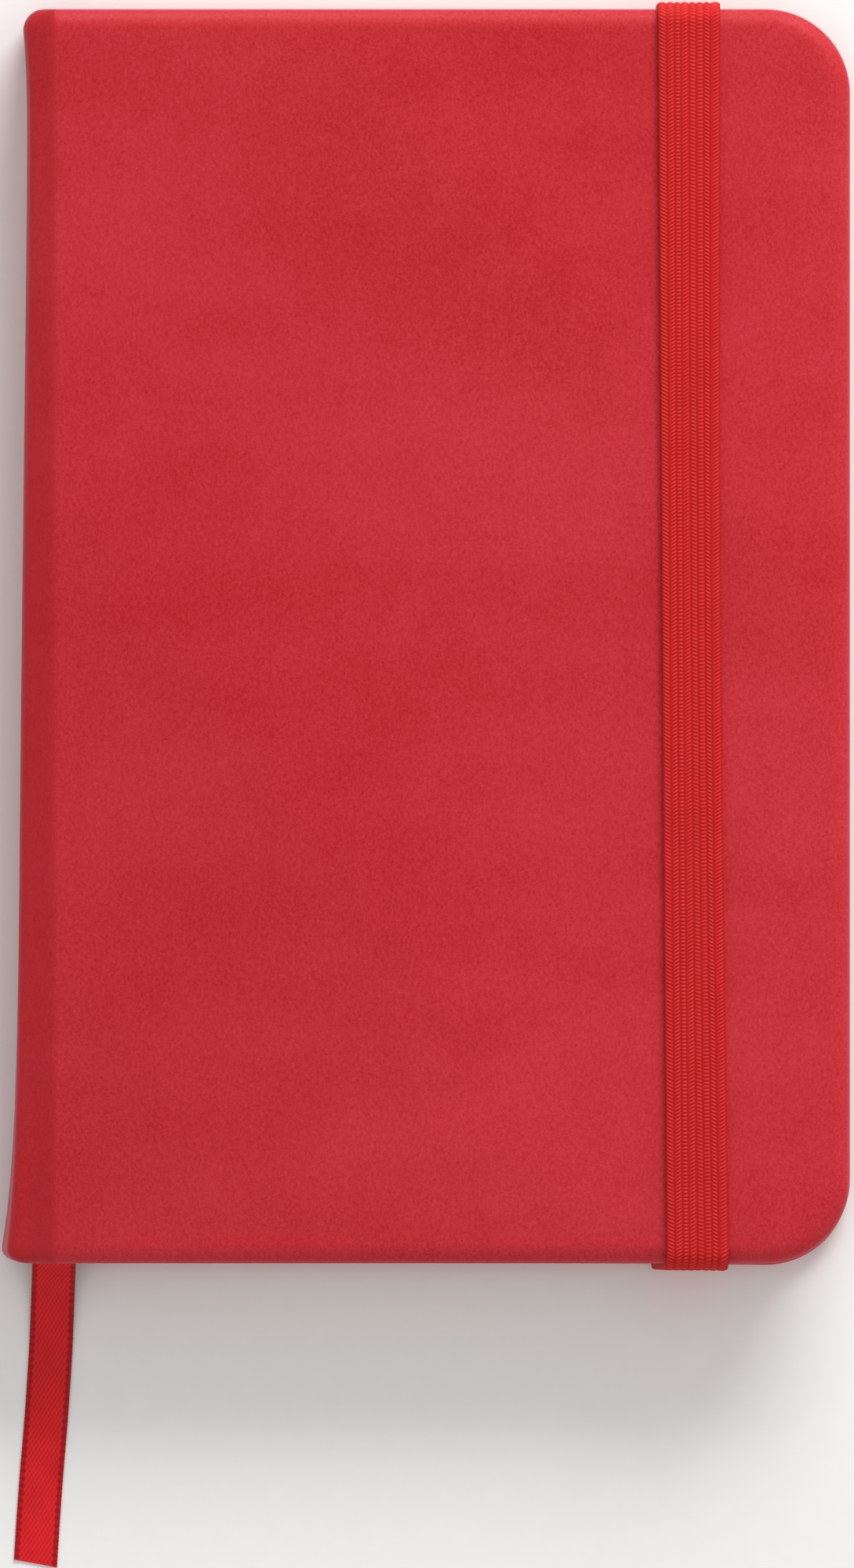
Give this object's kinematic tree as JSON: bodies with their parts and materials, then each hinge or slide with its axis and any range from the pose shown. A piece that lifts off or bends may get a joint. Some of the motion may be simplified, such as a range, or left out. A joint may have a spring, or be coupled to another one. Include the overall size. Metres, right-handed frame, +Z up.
{
  "type": "pocket notebook",
  "caption": "Pocket notebook in red leatherette: hard covers that open, leaves that turn, an elastic closure band and a ribbon bookmark.",
  "frame": {"origin": "centre of the closed notebook's footprint, on the surface that its back cover lies on", "axes": "+X from the spine to the fore-edge, +Y from the tail to the head, +Z up, out of the front cover"},
  "size_m": [0.0936, 0.1756, 0.0149],
  "materials": {
    "cover_skin": "matte soft-touch leatherette, fine grain",
    "greyboard": "matte",
    "spine_card": "matte",
    "endpaper": "matte, heavier cream paper",
    "writing_paper": "matte cream paper with faint ruled lines",
    "gauze": "open woven cotton",
    "thread": "waxed linen thread",
    "elastic": "ribbed woven elastic",
    "ribbon": "woven satin ribbon"
  },
  "bodies": {
    "root": {"back_board": "greyboard", "back_pastedown": "endpaper", "back_flyleaf": "endpaper", "cover_skin_back": "cover_skin", "cover_skin_spine": "cover_skin", "spine_strip": "spine_card", "spine_lining": "gauze", "sewing_thread": "thread", "signature_01_fold": "writing_paper", "signature_02": "writing_paper", "signature_03": "writing_paper", "signature_04": "writing_paper", "signature_05": "writing_paper", "signature_06": "writing_paper", "signature_07": "writing_paper", "signature_08": "writing_paper", "signature_09": "writing_paper", "signature_10": "writing_paper", "signature_11": "writing_paper", "signature_12": "writing_paper", "band_anchors": "elastic", "ribbon_tab": "ribbon", "ribbon_bookmark": "ribbon", "endpaper_joint": "endpaper"},
    "front_cover": {"front_board": "greyboard", "front_pastedown": "endpaper", "cover_skin_front": "cover_skin", "cover_skin_joint": "cover_skin"},
    "flyleaf": {"front_flyleaf": "endpaper"},
    "leaf_01": {"leaf_01": "writing_paper"},
    "leaf_02": {"leaf_02": "writing_paper"},
    "leaf_03": {"leaf_03": "writing_paper"},
    "leaf_04": {"leaf_04": "writing_paper"},
    "leaf_05": {"leaf_05": "writing_paper"},
    "leaf_06": {"leaf_06": "writing_paper"},
    "leaf_07": {"leaf_07": "writing_paper"},
    "leaf_08": {"leaf_08": "writing_paper"},
    "band": {"elastic_band": "elastic"}
  },
  "joints": [
    {"name": "front_cover_open", "type": "hinge", "parent": "root", "child": "front_cover", "pos_m": [-0.0451, 0, 0.01274], "axis": [0, -1, 0], "range_deg": [0, 180], "deforming": ["cover_skin_joint", "endpaper_joint"]},
    {"name": "flyleaf_turn", "type": "hinge", "parent": "root", "child": "flyleaf", "pos_m": [-0.0451, 0, 0.01274], "axis": [0, -1, 0], "range_deg": [0, 180]},
    {"name": "leaf_01_turn", "type": "hinge", "parent": "root", "child": "leaf_01", "pos_m": [-0.0451, 0, 0.01274], "axis": [0, -1, 0], "range_deg": [0, 180]},
    {"name": "leaf_02_turn", "type": "hinge", "parent": "root", "child": "leaf_02", "pos_m": [-0.0451, 0, 0.01274], "axis": [0, -1, 0], "range_deg": [0, 180]},
    {"name": "leaf_03_turn", "type": "hinge", "parent": "root", "child": "leaf_03", "pos_m": [-0.0451, 0, 0.01274], "axis": [0, -1, 0], "range_deg": [0, 180]},
    {"name": "leaf_04_turn", "type": "hinge", "parent": "root", "child": "leaf_04", "pos_m": [-0.0451, 0, 0.01274], "axis": [0, -1, 0], "range_deg": [0, 180]},
    {"name": "leaf_05_turn", "type": "hinge", "parent": "root", "child": "leaf_05", "pos_m": [-0.0451, 0, 0.01274], "axis": [0, -1, 0], "range_deg": [0, 180]},
    {"name": "leaf_06_turn", "type": "hinge", "parent": "root", "child": "leaf_06", "pos_m": [-0.0451, 0, 0.01274], "axis": [0, -1, 0], "range_deg": [0, 180]},
    {"name": "leaf_07_turn", "type": "hinge", "parent": "root", "child": "leaf_07", "pos_m": [-0.0451, 0, 0.01274], "axis": [0, -1, 0], "range_deg": [0, 180]},
    {"name": "leaf_08_turn", "type": "hinge", "parent": "root", "child": "leaf_08", "pos_m": [-0.0451, 0, 0.01274], "axis": [0, -1, 0], "range_deg": [0, 180]},
    {"name": "band_release", "type": "hinge", "parent": "root", "child": "band", "pos_m": [0.0336, 0, -0.0003], "axis": [0, 1, 0], "range_deg": [0, 90], "deforming": ["elastic_band"]}
  ],
  "couplings": [
    {"joint": "flyleaf_turn", "follows": "front_cover_open", "ratio": 0.99},
    {"joint": "leaf_01_turn", "follows": "front_cover_open", "ratio": 0.98},
    {"joint": "leaf_02_turn", "follows": "front_cover_open", "ratio": 0.97},
    {"joint": "leaf_03_turn", "follows": "front_cover_open", "ratio": 0.96},
    {"joint": "leaf_04_turn", "follows": "front_cover_open", "ratio": 0.95},
    {"joint": "leaf_05_turn", "follows": "front_cover_open", "ratio": 0.94},
    {"joint": "leaf_06_turn", "follows": "front_cover_open", "ratio": 0.93},
    {"joint": "leaf_07_turn", "follows": "front_cover_open", "ratio": 0.92},
    {"joint": "leaf_08_turn", "follows": "front_cover_open", "ratio": 0.91},
    {"joint": "band_release", "follows": "front_cover_open", "ratio": 0.5}
  ]
}
